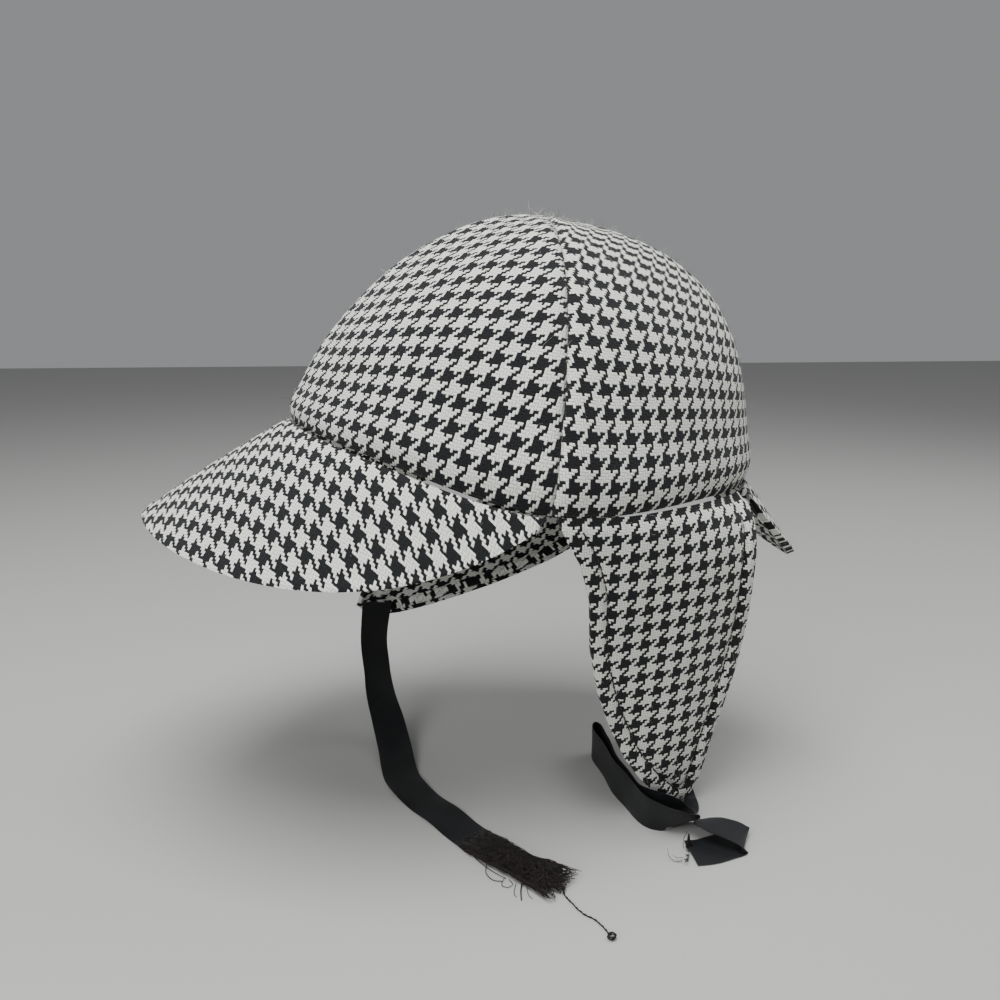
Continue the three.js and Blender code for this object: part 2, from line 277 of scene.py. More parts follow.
def ribbon_material():
    material, nodes, links, skin = shade("black ribbon", 0.5)
    skin.inputs["Sheen Weight"].default_value = 0.06
    skin.inputs["Sheen Roughness"].default_value = 0.4
    place = nodes.new("ShaderNodeUVMap")
    place.uv_map = "weave"
    split = nodes.new("ShaderNodeSeparateXYZ")
    links.new(place.outputs[0], split.inputs[0])
    maths = Maths(nodes, links)
    rib = maths("SINE", maths("MULTIPLY", split.outputs[1], math.tau / 0.42))
    warp = maths("SINE", maths("MULTIPLY", split.outputs[0], math.tau / 0.3))
    weave = maths("ADD", maths("MULTIPLY", rib, 0.7), maths("MULTIPLY", warp, 0.3))
    patch = nodes.new("ShaderNodeTexNoise")
    patch.inputs["Scale"].default_value = 0.35
    patch.inputs["Detail"].default_value = 4
    links.new(place.outputs[0], patch.inputs["Vector"])
    tone = nodes.new("ShaderNodeValToRGB")
    tone.color_ramp.elements[0].color = (0.0018, 0.002, 0.003, 1)
    tone.color_ramp.elements[1].color = (0.007, 0.0076, 0.0095, 1)
    links.new(
        maths("ADD", maths("MULTIPLY", weave, 0.18), patch.outputs[0]), tone.inputs[0]
    )
    links.new(tone.outputs[0], skin.inputs["Base Color"])
    bump = nodes.new("ShaderNodeBump")
    bump.inputs["Strength"].default_value = 0.5
    bump.inputs["Distance"].default_value = 0.08 * MM
    links.new(weave, bump.inputs["Height"])
    links.new(bump.outputs[0], skin.inputs["Normal"])
    return material


black_ribbon = ribbon_material()


def ribbon(name, stations, steps, node):
    """A flat woven band: each station is its middle and the direction of its width."""
    middles = [Vector(s[0]).to_4d() for s in stations]
    for i, m in enumerate(middles):
        m.w = i
    route, length = smooth_route(middles, steps)
    shape = bmesh.new()
    weave = shape.loops.layers.uv.new("weave")
    across_steps = 8
    rings, ups = [], []
    for i, spot in enumerate(route):
        k = min(int(spot.w), len(stations) - 2)
        across = Vector(stations[k][1]).lerp(Vector(stations[k + 1][1]), spot.w - k)
        run = (route[min(i + 1, steps)] - route[max(i - 1, 0)]).xyz.normalized()
        across = (across - run * across.dot(run)).normalized()
        face = run.cross(across)
        ring = []
        for side in (1, -1):
            for j in range(across_steps + 1):
                e = (j / across_steps * 2 - 1) * side
                selvedge = 0.12 if abs(e) > 0.99 else 0.0
                cup = 0.35 * (e * e) * math.sin(i * 0.21)
                height = side * (RIBBON_THICK / 2 - selvedge) + cup
                at = spot.xyz + across * (e * RIBBON_WIDTH / 2) + face * height
                ring.append((shape.verts.new(at * MM), e * RIBBON_WIDTH / 2))
        rings.append((ring, length * i / steps))
    count = len(rings[0][0])
    for (a, va), (b, vb) in zip(rings, rings[1:]):
        for j in range(count):
            k = (j + 1) % count
            corners = [(a[j], va), (a[k], va), (b[k], vb), (b[j], vb)]
            quad = shape.faces.new([c[0][0] for c in corners])
            for loop, (corner, v) in zip(quad.loops, corners):
                loop[weave].uv = (corner[1], v)
    for ring, _ in (rings[0], rings[-1]):
        shape.faces.new([corner[0] for corner in ring])
    bmesh.ops.recalc_face_normals(shape, faces=shape.faces)
    for one in shape.faces:
        one.smooth = True
    mesh = bpy.data.meshes.new(name)
    shape.to_mesh(mesh)
    mesh.set_sharp_from_angle(angle=math.radians(50))
    piece = finish_piece(name, mesh, black_ribbon, node, slot="black_ribbon")
    return piece, [tuple(spot.xyz * MM) for spot in route], length


# Each row: the middle of the ribbon, then the direction of its width.
LEFT_STATIONS = [
    ((40.9, 59.8, -134), (-0.37, 0.93, 0)),
    ((38.4, 61.4, -142), (-0.36, 0.93, 0)),
    ((36.8, 62.8, -147.6), (-0.3, 0.95, 0)),
    ((38.6, 63.6, -151.4), (-0.1, 0.98, 0.05)),
    ((44.5, 62.2, -151.7), (0.3, 0.93, 0.05)),
    ((50, 59, -150.9), (0.45, 0.87, 0.2)),
    ((54.4, 55, -147.9), (0.4, 0.72, 0.5)),
    ((56.4, 51, -145.3), (0.2, 0.4, 0.85)),
    ((55.2, 47.2, -144.4), (0.1, 0.1, 0.98)),
    ((48.4, 43, -144.6), (0.1, -0.08, 0.99)),
    ((34, 40.4, -144.5), (0.02, -0.04, 1)),
    ((19, 39.2, -144.5), (0, 0, 1)),
    ((5, 39.2, -144.5), (0, 0, 1)),
    ((-5, 39.6, -144.5), (0, 0, 1)),
    ((-9.4, 37.4, -144.5), (0, 0, 1)),
    ((-5, 34.9, -144.5), (0, 0, 1)),
    ((7, 35.3, -144.5), (0, 0, 1)),
    ((20, 36.2, -144.5), (0, 0, 1)),
    ((33, 37.6, -144.5), (0, 0, 1)),
    ((48, 40.3, -144.5), (0.03, -0.02, 1)),
    ((57.4, 43.6, -144.7), (0.15, -0.08, 0.98)),
    ((62.2, 48.2, -145), (0.3, -0.12, 0.94)),
    ((63.9, 52.4, -145.6), (0.5, -0.18, 0.85)),
    ((63.2, 57, -146.8), (0.67, -0.28, 0.69)),
    ((61.6, 61.8, -147.6), (0.77, -0.35, 0.52)),
    ((63.6, 65.6, -147), (0.86, -0.44, 0.3)),
    ((66.8, 70, -146.8), (0.87, -0.48, 0.1)),
    ((71.2, 75.6, -147.6), (0.88, -0.47, 0.02)),
    ((73.6, 79.8, -149.8), (0.88, -0.47, 0)),
    ((72.4, 77.4, -151.8), (0.88, -0.47, 0)),
    ((74.6, 70.5, -151.9), (0.92, -0.38, 0)),
    ((76.8, 63, -151.8), (0.94, -0.3, 0)),
    ((77.2, 56, -151.4), (0.92, -0.4, 0)),
]
RIGHT_STATIONS = [
    ((-54.6, -66, -87), (-0.4, 0.9, 0)),
    ((-54.2, -67.4, -96), (-0.5, 0.86, 0)),
    ((-54, -68, -110), (-0.6, 0.8, -0.05)),
    ((-51.5, -67, -124), (-0.6, 0.8, -0.1)),
    ((-45.5, -64.8, -135.5), (-0.45, 0.88, -0.05)),
    ((-36, -61.8, -144.2), (-0.3, 0.94, 0.1)),
    ((-22, -59.2, -149.4), (-0.28, 0.95, 0.14)),
    ((-7, -57.7, -151.3), (-0.34, 0.93, 0.07)),
    ((4, -56, -151.9), (-0.35, 0.93, 0.03)),
    ((15, -52.4, -152), (-0.45, 0.89, 0)),
    ((27, -46, -152), (-0.52, 0.86, 0)),
    ((41.5, -37, -152), (-0.5, 0.87, 0)),
    ((55.5, -28.8, -152), (-0.5, 0.87, 0)),
]
ribbon_left, left_path, left_length = ribbon(
    "ribbon_left", LEFT_STATIONS, 260, "ribbon_left"
)
ribbon_right, right_path, right_length = ribbon(
    "ribbon_right", RIGHT_STATIONS, 180, "ribbon_right"
)

# ---- Frayed ribbon ends ------------------------------------------------------------------
# Past the last woven row the ribbon is only its brown-black warp threads, crumpled together
# with a few pulled weft threads. One long thread runs on from the right end to a knot.
random.seed(7)


def thread_material(name, dark, light):
    material, nodes, links, skin = shade(name, 0.75)
    skin.inputs["Sheen Weight"].default_value = 0.05
    place = nodes.new("ShaderNodeTexCoord")
    fleck = nodes.new("ShaderNodeTexNoise")
    fleck.inputs["Scale"].default_value = 900
    links.new(place.outputs["Object"], fleck.inputs["Vector"])
    tone = nodes.new("ShaderNodeValToRGB")
    tone.color_ramp.elements[0].position = 0.35
    tone.color_ramp.elements[1].position = 0.7
    tone.color_ramp.elements[0].color = (*dark, 1)
    tone.color_ramp.elements[1].color = (*light, 1)
    links.new(fleck.outputs[0], tone.inputs[0])
    links.new(tone.outputs[0], skin.inputs["Base Color"])
    return material


loose_thread = thread_material("loose thread", (0.003, 0.0022, 0.002), (0.026, 0.016, 0.014))


def strand(shape, points, radius, sides=4, tip=1.0):
    """A round thread along the points, closed at both ends."""
    rings = []
    for i, at in enumerate(points):
        run = (points[min(i + 1, len(points) - 1)] - points[max(i - 1, 0)]).normalized()
        side = run.orthogonal().normalized()
        other = run.cross(side)
        size = radius * lerp(1, tip, i / (len(points) - 1))
        ring = []
        for k in range(sides):
            turn = math.tau * k / sides
            out = side * math.cos(turn) + other * math.sin(turn)
            ring.append(shape.verts.new((at + out * size) * MM))
        rings.append(ring)
    for a, b in zip(rings, rings[1:]):
        for k in range(sides):
            n = (k + 1) % sides
            shape.faces.new((a[k], a[n], b[n], b[k]))
    shape.faces.new(rings[0][::-1])
    shape.faces.new(rings[-1])


def threads_mesh(name, shape):
    bmesh.ops.recalc_face_normals(shape, faces=shape.faces)
    for one in shape.faces:
        one.smooth = True
    mesh = bpy.data.meshes.new(name)
    shape.to_mesh(mesh)
    return mesh


TABLE = -152.5


def above_table(at, radius=0.15):
    return Vector((at.x, at.y, max(at.z, TABLE + radius)))


def right_fray():
    """The crumpled mass: warp threads side by side, crossed by kinked weft threads."""
    shape = bmesh.new()
    # Stations of the mass: its middle, half width and height.
    mass = [
        (Vector((53.5, -30, -152)), 8, 0.5),
        (Vector((60, -25.6, -151.8)), 8.2, 1.6),
        (Vector((67.5, -20.4, -151)), 7.4, 3.4),
        (Vector((75, -15, -150.4)), 6.4, 4.6),
        (Vector((82, -9, -150)), 6.4, 5),
        (Vector((87.5, -3.4, -150)), 7.4, 4.8),
        (Vector((91.5, 0.8, -150.2)), 8.4, 3.6),
    ]

    def place(along, across, height):
        k = min(int(along * 6), 5)
        t = along * 6 - k
        middle = mass[k][0].lerp(mass[k + 1][0], t)
        run = (mass[k + 1][0] - mass[k][0]).normalized()
        side = Vector((-run.y, run.x, 0))
        half = lerp(mass[k][1], mass[k + 1][1], t)
        tall = lerp(mass[k][2], mass[k + 1][2], t)
        bumpy = noise.noise(Vector((across * 2.1, along * 6, 3.3)))
        up = tall * (0.5 * height + 0.45 * bumpy) * (1 - 0.55 * across * across)
        at = middle + side * (across * half) + Vector((0, 0, up))
        return above_table(at)

    for n in range(420):
        across = random.uniform(-1, 1)
        height = random.uniform(-1, 1)
        start = random.uniform(0, 0.12)
        end = random.uniform(0.8, 1.1) if random.random() < 0.75 else random.uniform(0.5, 0.9)
        wander = random.uniform(-0.6, 0.6)
        phase = random.uniform(0, 9)
        points = []
        for i in range(13):
            t = i / 12
            kink = 0.09 * math.sin(phase + t * 21) + 0.45 * noise.noise(
                Vector((phase, t * 4, n * 0.37))
            )
            side = max(-1.15, min(1.15, across + wander * t * t + kink * min(1, 3 * t)))
            points.append(place(lerp(start, end, t), side, height + kink * 4 * t))
        strand(shape, points, random.uniform(0.09, 0.17), sides=3)
    for n in range(90):
        along = random.uniform(0.06, 0.9)
        phase = random.uniform(0, 9)
        points = []
        for i in range(11):
            t = i / 10
            points.append(
                place(
                    along + 0.035 * math.sin(phase + t * 9),
                    lerp(-1, 1, t),
                    0.9 + 0.5 * math.sin(phase + 17 * t),
                )
            )
        strand(shape, points, 0.12, sides=3)
    # Pulled threads: each a route of points beside the mass, then its thickness.
    pulled = [
        (
            [(64, -17, -151), (71, -12.4, -149.5), (78, -8.5, -149), (83, -4, -150), (84, -1, -151.5)],
            0.42,
        ),
        (
            [(60, -19, -151.4), (68, -13, -150.6), (77, -7, -150.2), (84, 1, -150.5), (80, 3, -151)],
            0.12,
        ),
        ([(62, -18, -151.6), (70, -11.5, -150), (79, -3.5, -149.8), (84.5, 1.6, -151)], 0.1),
        ([(84, 1.6, -151), (80.5, -1.8, -151.6), (84.5, -3, -151.6)], 0.14),
        (
            [(60, -31, -152), (66, -30, -152.1), (72, -27.5, -152.1), (79, -23, -152), (84, -18.5, -152)],
            0.14,
        ),
        ([(72, -24, -151.8), (79, -25.6, -152), (84, -23.6, -152.1), (85.5, -20, -152)], 0.16),
        (
            [
                (84, -19, -151.5),
                (87.5, -20.6, -152),
                (89.3, -18.6, -152),
                (87.8, -16.4, -152),
                (85, -17.5, -151.8),
            ],
            0.13,
        ),
        ([(88, -13, -151.8), (92, -14, -152.2), (97, -14.5, -152.3)], 0.26),
        ([(87, -15, -151.8), (92.5, -16.6, -152.2), (95, -16, -152.3)], 0.12),
        ([(89.5, -11.5, -151.8), (94, -11.5, -152.2), (96.5, -10.5, -152.3)], 0.12),
    ]
    for route, radius in pulled:
        line, _ = smooth_route([Vector(p).to_4d() for p in route], 18)
        strand(shape, [above_table(p.xyz, radius) for p in line], radius, sides=6)
    # The long thread: two plies twisted round each other, ending in a small open knot.
    long_route = [
        (91, 3, -151.4),
        (95.5, 1.6, -152),
        (101, 3.4, -152),
        (107, 6, -152),
        (111, 9.6, -152),
        (116, 12, -152),
        (119, 12.6, -151.9),
    ]
    knot_middle = Vector((120.8, 13.2, -151.3))
    line, _ = smooth_route([Vector(p).to_4d() for p in long_route], 60)
    for ply in (0, math.pi):
        points = []
        for i, p in enumerate(line):
            turn = ply + i * 0.75
            wobble = 0.22 * noise.noise(Vector((i * 0.3, ply, 1)))
            ring = Vector((math.cos(turn), math.cos(turn), math.sin(turn))) * 0.2
            points.append(above_table(p.xyz + ring + Vector((wobble, -wobble, 0)), 0.17))
        strand(shape, points, 0.19, sides=6)
    for loop in range(4):
        points = []
        lean = random.uniform(-0.5, 0.5)
        size = random.uniform(1.1, 1.5)
        for i in range(17):
            turn = math.tau * i / 16 + loop
            points.append(
                above_table(
                    knot_middle
                    + Vector((math.cos(turn), math.sin(turn), math.sin(turn + loop) * lean)) * size,
                    0.2,
                )
            )
        strand(shape, points, 0.26, sides=6)
    return threads_mesh("ribbon_fray_right", shape)


def left_fray():
    """The left end's threads stand up in a pointed tuft, with three that curl away."""
    shape = bmesh.new()
    for n in range(120):
        across = random.uniform(-1, 1)
        depth = random.uniform(-1, 1)
        tall = (1 - 0.55 * across * across) * random.uniform(0.75, 1.0)
        points = []
        for i in range(8):
            t = i / 7
            width = 3.2 * (1 - 0.75 * t**1.5)
            points.append(
                above_table(
                    Vector((73.6 + 1.2 * t, 56.4 - 0.8 * t, -151.2 + 6.6 * t * tall))
                    + Vector((0.5, -0.85, 0)) * (across * width * 0.5 + 0.3 * math.sin(5 * t + n))
                    + Vector((0.85, 0.5, 0)) * depth * 0.7 * (1 - t)
                )
            )
        strand(shape, points, random.uniform(0.08, 0.14), sides=3)
    for n in range(60):
        t = random.random()
        start = Vector((70.5, 58.6, -151.3)).lerp(Vector((84, 52.6, -151)), t)
        out = Vector((0.1, -1, 0)) * random.uniform(0.8, 2.2)
        points = [start, start + out * 0.5, start + out + Vector((0, 0, 0.3))]
        strand(shape, [above_table(p) for p in points], 0.11, sides=3)
    curls = [
        ([(75, 53.6, -151), (75.4, 53.2, -148), (76, 53.4, -145.4), (76.4, 54.4, -143)], 0.14),
        ([(82, 51, -151.6), (81.5, 48, -151.8), (79.8, 46.2, -150.6), (77.4, 46.4, -149)], 0.16),
        ([(80, 52, -151.6), (79.5, 49.6, -151.8), (78.6, 48, -151)], 0.12),
    ]
    for route, radius in curls:
        line, _ = smooth_route([Vector(p).to_4d() for p in route], 14)
        strand(shape, [above_table(p.xyz, radius) for p in line], radius, sides=6, tip=0.5)
    return threads_mesh("ribbon_fray_left", shape)


fray_right = finish_piece(
    "ribbon_fray_right", right_fray(), loose_thread, "ribbon_fray_right", slot="loose_thread"
)
fray_left = finish_piece(
    "ribbon_fray_left", left_fray(), loose_thread, "ribbon_fray_left", slot="loose_thread"
)
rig.cord(
    ribbon_left,
    exit=left_path[0],
    length=left_length * MM,
    diameter=RIBBON_WIDTH * MM,
    far_end="bare",
    stiffness="limp",
    lay="loose",
    path=left_path,
    with_pieces=[fray_left],
)
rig.cord(
    ribbon_right,
    exit=right_path[0],
    length=right_length * MM,
    diameter=RIBBON_WIDTH * MM,
    far_end="bare",
    stiffness="limp",
    lay="hanging",
    path=right_path,
    with_pieces=[fray_right],
)

# ---- Crown -------------------------------------------------------------------------------
# Four panels of houndstooth coating wool, cut with the check upright in each, and joined by
# seams that meet at the top. The cloth rolls in at every seam and at the rim.
RIM_HALF_WIDTH = 82.5
RIM_HALF_LENGTH = 100
RIM_ROUNDNESS = 1.75
SIDE_DIP = 13
CROWN_HEIGHT = 96
TOP_FORWARD = 5.3
TOP_SLOPE = math.radians(2)
WORN_TIP = Matrix.Rotation(math.radians(-8.2), 3, "X")
CLOTH = 2
REPEAT = 7.7  # one check of the cloth is eight threads
# Lean of the wall in degrees, then how far the wall and the top run straight.
TOP_END = 0.992  # how far up the panels run before they meet at a point
PANEL_START = {"left back": 0, "right back": 90, "right front": 180, "left front": 270}
PROFILE = {"front": (9, 0.46, 0.47), "side": (4, 0.87, 0.16), "back": (8.6, 0.75, 0.67)}


def rim_point(angle):
    c, s = math.cos(angle), math.sin(angle)
    size = (abs(c) ** RIM_ROUNDNESS + abs(s) ** RIM_ROUNDNESS) ** (-1 / RIM_ROUNDNESS)
    dip = SIDE_DIP * (0.5 * c**2 + 0.5 * c**8)
    return Vector((RIM_HALF_WIDTH * c * size, RIM_HALF_LENGTH * s * size, -dip))


def crown_point(angle, rise):
    rim = rim_point(angle)
    out = Vector((rim.x, rim.y + TOP_FORWARD))
    radius = out.length
    height = CROWN_HEIGHT - rim.z
    end = PROFILE["front" if math.sin(angle) < 0 else "back"]
    share = math.sin(angle) ** 2
    lean, wall, top = (lerp(a, b, share) for a, b in zip(PROFILE["side"], end))
    lean, wall, top = math.radians(lean), wall * height, top * radius
    knots = [
        (radius, rim.z),
        (radius - wall * math.sin(lean), rim.z + wall * math.cos(lean)),
        (top * math.cos(TOP_SLOPE), CROWN_HEIGHT - top * math.sin(TOP_SLOPE)),
        (0, CROWN_HEIGHT),
    ]
    weights = [(1 - rise) ** 3, 3 * rise * (1 - rise) ** 2, 3 * rise**2 * (1 - rise), rise**3]
    r = sum(w * k[0] for w, k in zip(weights, knots))
    z = sum(w * k[1] for w, k in zip(weights, knots))
    out.normalize()
    return WORN_TIP @ Vector((out.x * r, out.y * r - TOP_FORWARD, z))


def houndstooth_material():
    """Off-white and black yarns, four and four both ways, in a two-over two-under twill."""
    material, nodes, links, skin = shade("houndstooth wool", 0.92)
    skin.inputs["Specular IOR Level"].default_value = 0.12
    skin.inputs["Sheen Weight"].default_value = 0.08
    skin.inputs["Sheen Roughness"].default_value = 0.6
    maths = Maths(nodes, links)
    place = nodes.new("ShaderNodeUVMap")
    place.uv_map = "weave"

    def cloudy(scale, detail=2.0):
        cloud = nodes.new("ShaderNodeTexNoise")
        cloud.inputs["Scale"].default_value = scale
        cloud.inputs["Detail"].default_value = detail
        links.new(place.outputs[0], cloud.inputs["Vector"])
        return cloud

    # The yarns wander a little and their edges are hairy.
    sway, hairy = cloudy(1.3), cloudy(17, 3)
    offset = nodes.new("ShaderNodeVectorMath")
    offset.operation = "MULTIPLY_ADD"
    links.new(sway.outputs["Color"], offset.inputs[0])
    offset.inputs[1].default_value = (0.05, 0.05, 0)
    links.new(place.outputs[0], offset.inputs[2])
    fuzzy = nodes.new("ShaderNodeVectorMath")
    fuzzy.operation = "MULTIPLY_ADD"
    links.new(hairy.outputs["Color"], fuzzy.inputs[0])
    fuzzy.inputs[1].default_value = (0.075, 0.075, 0)
    links.new(offset.outputs[0], fuzzy.inputs[2])
    split = nodes.new("ShaderNodeSeparateXYZ")
    links.new(fuzzy.outputs[0], split.inputs[0])
    a = maths("MULTIPLY", split.outputs[0], 8)
    b = maths("MULTIPLY", split.outputs[1], 8)
    column, row = maths("FLOOR", a), maths("FLOOR", b)
    across, up = maths("SUBTRACT", a, column), maths("SUBTRACT", b, row)
    warp_dark = maths("LESS_THAN", maths("FLOORED_MODULO", column, 8), 3.5)
    weft_dark = maths("LESS_THAN", maths("FLOORED_MODULO", row, 8), 3.5)
    step = maths("FLOORED_MODULO", maths("SUBTRACT", column, row), 4)
    warp_over = maths("LESS_THAN", step, 1.5)

    def choose(low, high, share):
        return maths("MULTIPLY_ADD", maths("SUBTRACT", high, low), share, low)

    dark = choose(weft_dark, warp_dark, warp_over)
    # Each float is a rounded yarn, highest at its middle.
    cross = choose(up, across, warp_over)
    warp_run = maths("MULTIPLY", maths("ADD", step, maths("SUBTRACT", 1, up)), 0.5)
    weft_run = maths("MULTIPLY", maths("ADD", maths("SUBTRACT", step, 2), across), 0.5)
    run = choose(weft_run, warp_run, warp_over)
    round_cross = maths("SINE", maths("MULTIPLY", cross, math.pi))
    round_run = maths("SINE", maths("MULTIPLY", run, math.pi))
    yarn = maths(
        "MULTIPLY",
        maths("POWER", maths("MAXIMUM", round_cross, 0.001), 0.6),
        maths("MULTIPLY_ADD", round_run, 0.45, 0.55),
    )
    # The spin of each yarn shows as slanting fibres.
    slant = maths("ADD", maths("MULTIPLY", cross, 1.6), maths("MULTIPLY", run, 5))
    twist = maths("SINE", maths("MULTIPLY", slant, math.tau))
    fibre, broad = cloudy(60, 4), cloudy(0.35, 3)
    hair = maths("MULTIPLY_ADD", twist, 0.12, fibre.outputs[0])

    def ramp(low, high, value, start=0.25, end=0.8):
        tone = nodes.new("ShaderNodeValToRGB")
        tone.color_ramp.elements[0].position = start
        tone.color_ramp.elements[1].position = end
        tone.color_ramp.elements[0].color = (*low, 1)
        tone.color_ramp.elements[1].color = (*high, 1)
        links.new(value, tone.inputs[0])
        return tone.outputs[0]

    black = ramp((0.003, 0.0034, 0.0042), (0.022, 0.0245, 0.027), hair, 0.3, 0.85)
    white = ramp((0.52, 0.52, 0.48), (0.93, 0.93, 0.89), hair, 0.25, 0.6)
    cloth = nodes.new("ShaderNodeMix")
    cloth.data_type = "RGBA"
    links.new(dark, cloth.inputs["Factor"])
    links.new(white, cloth.inputs["A"])
    links.new(black, cloth.inputs["B"])
    hollow = nodes.new("ShaderNodeMix")
    hollow.data_type = "RGBA"
    hollow.blend_type = "MULTIPLY"
    links.new(ramp((0.42, 0.42, 0.42), (1, 1, 1), yarn, 0.1, 0.62), hollow.inputs["B"])
    links.new(cloth.outputs["Result"], hollow.inputs["A"])
    hollow.inputs["Factor"].default_value = 1
    worn = nodes.new("ShaderNodeMix")
    worn.data_type = "RGBA"
    worn.blend_type = "MULTIPLY"
    worn.inputs["Factor"].default_value = 1
    links.new(hollow.outputs["Result"], worn.inputs["A"])
    links.new(ramp((0.9, 0.9, 0.88), (1, 1, 1), broad.outputs[0]), worn.inputs["B"])
    links.new(worn.outputs["Result"], skin.inputs["Base Color"])
    bump = nodes.new("ShaderNodeBump")
    bump.inputs["Strength"].default_value = 0.8
    bump.inputs["Distance"].default_value = 0.28 * MM
    links.new(maths("MULTIPLY_ADD", hair, 0.25, yarn), bump.inputs["Height"])
    links.new(bump.outputs[0], skin.inputs["Normal"])
    return material


wool = houndstooth_material()
light_fibre = thread_material("light wool fibre", (0.45, 0.45, 0.42), (0.75, 0.75, 0.72))
dark_fibre = thread_material("dark wool fibre", (0.012, 0.013, 0.015), (0.04, 0.044, 0.05))


def yarn_is_dark(u, v):
    """Whether the yarn on top is a black one, at a place in the weave."""
    column, row = math.floor(u * 8), math.floor(v * 8)
    warp_over = (column - row) % 4 < 2
    return (column if warp_over else row) % 8 < 4


def surface_normal(point, u, v):
    step = 2e-3
    along = point(min(u + step, 1), v) - point(max(u - step, 0), v)
    up = point(u, min(v + step, 1)) - point(u, max(v - step, 0))
    return along.cross(up).normalized()


def cloth_piece(name, point, weave, columns, rows, thick, relief, edge, hairs, node):
    """A cloth wall: point(u, v) is its outer face, weave(u, v) its place in the check,
    relief(u, v) how far it stands out, and edge the radius of its turned edge."""
    shape = bmesh.new()
    checks = shape.loops.layers.uv.new("weave")
    grid = []
    for j in range(rows + 1):
        for i in range(columns + 1):
            u, v = i / columns, j / rows
            out = surface_normal(point, u, v)
            at = point(u, v) + out * relief(u, v)
            grid.append((shape.verts.new(at * MM), weave(u, v)))
    for j in range(rows):
        for i in range(columns):
            a = j * (columns + 1) + i
            corners = [grid[k] for k in (a, a + 1, a + columns + 2, a + columns + 1)]
            quad = shape.faces.new([c[0] for c in corners])
            quad.smooth = True
            for loop, corner in zip(quad.loops, corners):
                loop[checks].uv = corner[1]
    mesh = bpy.data.meshes.new(name)
    shape.to_mesh(mesh)
    piece = finish_piece(name, mesh, [wool, light_fibre, dark_fibre], node, slot="houndstooth_wool")
    wall = piece.modifiers.new("wall", "SOLIDIFY")
    wall.thickness = thick * MM
    wall.offset = -1
    bpy.context.view_layer.objects.active = piece
    bpy.ops.object.modifier_apply(modifier=wall.name)
    if edge:
        turned = piece.modifiers.new("turned edge", "BEVEL")
        turned.width = edge * MM
        turned.segments = 3
        turned.limit_method = "ANGLE"
        turned.angle_limit = math.radians(55)
        bpy.ops.object.modifier_apply(modifier=turned.name)
    for face in piece.data.polygons:
        face.use_smooth = True
    # Loose fibres of the wool stand off the outer face and off the edges.
    shape = bmesh.new()
    shape.from_mesh(piece.data)
    checks = shape.loops.layers.uv["weave"]
    for n in range(hairs):
        u, v = random.random(), random.random()
        if n % 5 == 0:
            side = random.choice((0, 1))
            u, v = random.choice(((side, v), (u, side)))
        out = surface_normal(point, u, v)
        root = point(u, v) + out * (relief(u, v) - 0.1)
        place = weave(u, v)
        lean = Vector((random.gauss(0, 1), random.gauss(0, 1), random.gauss(0, 1)))
        lean = (out * random.uniform(0.2, 1.0) + lean * 0.6).normalized()
        curl = Vector((random.gauss(0, 1), random.gauss(0, 1), random.gauss(0, 1))) * 0.35
        length = random.uniform(0.8, 2.2) if random.random() < 0.9 else random.uniform(2, 4)
        width = lean.orthogonal().normalized() * random.uniform(0.022, 0.035)
        last = None
        for k in range(4):
            t = k / 3
            at = root + lean * (length * t) + curl * (length * t * t)
            half = width * (1 - 0.6 * t)
            pair = [shape.verts.new((at - half) * MM), shape.verts.new((at + half) * MM)]
            if last:
                blade = shape.faces.new((last[0], last[1], pair[1], pair[0]))
                blade.material_index = 2 if yarn_is_dark(*place) else 1
                for loop in blade.loops:
                    loop[checks].uv = place
            last = pair
    shape.to_mesh(piece.data)
    shape.free()
    return piece


def crown_panel(side, end):
    """One quarter of the crown, from its left-hand seam to its right-hand one."""
    start = PANEL_START[f"{side} {end}"]
    middle = math.radians(start + 45)
    heights = [0.0]
    for k in range(200):
        heights.append(
            heights[-1] + (crown_point(middle, (k + 1) / 200) - crown_point(middle, k / 200)).length
        )

    def angle_at(u):
        return math.radians(start + 90 * u)

    def point(u, v):
        return crown_point(angle_at(u), v * TOP_END)

    def weave(u, v):
        up = v * TOP_END * 199.99
        height = lerp(heights[int(up)], heights[int(up) + 1], up - int(up))
        chord = point(u, v) - crown_point(middle, v * TOP_END)
        return (math.copysign(chord.length, u - 0.5) * 1.02 / REPEAT, height / REPEAT)

    def relief(u, v):
        span = (point(1, v) - point(0, v)).length * 1.1
        seam = min(u, 1 - u) * span
        rim = v * heights[-1]
        roll = -1.2 * math.exp(-((seam / 1.5) ** 2)) - 1.9 * math.exp(-((rim / 2.4) ** 2))
        puff = 0.7 * math.exp(-(((seam - 6) / 5) ** 2)) + 1.3 * math.exp(-(((rim - 7.5) / 5) ** 2))
        at = point(u, v)
        dents = 0.9 * noise.noise(at * 0.028 + Vector((3, 1, 7))) + 0.35 * noise.noise(at * 0.075)
        calm = min(1.0, seam / 9) * min(1.0, rim / 9)
        return roll + puff * min(1.0, span / 30) * 0.7 + dents * calm

    name = f"crown_panel_{end}_{side}"
    return cloth_piece(name, point, weave, 84, 76, CLOTH, relief, 0, 2600, name)


for end in ("front", "back"):
    for side in ("left", "right"):
        crown_panel(side, end)

# ---- Front peak --------------------------------------------------------------------------
# A board covered in the same cloth, cut on the bias, and sewn under the front half of the
# rim. Its cover is turned over the outer edge.
REACH = 55
FULLNESS = 0.77
FORWARD = 0.55
PEAK_THICK = 3
PEAK_DEPTH = 68  # rim to edge at the front, along the cloth
PEAK_EDGE = 260  # length of the outer edge


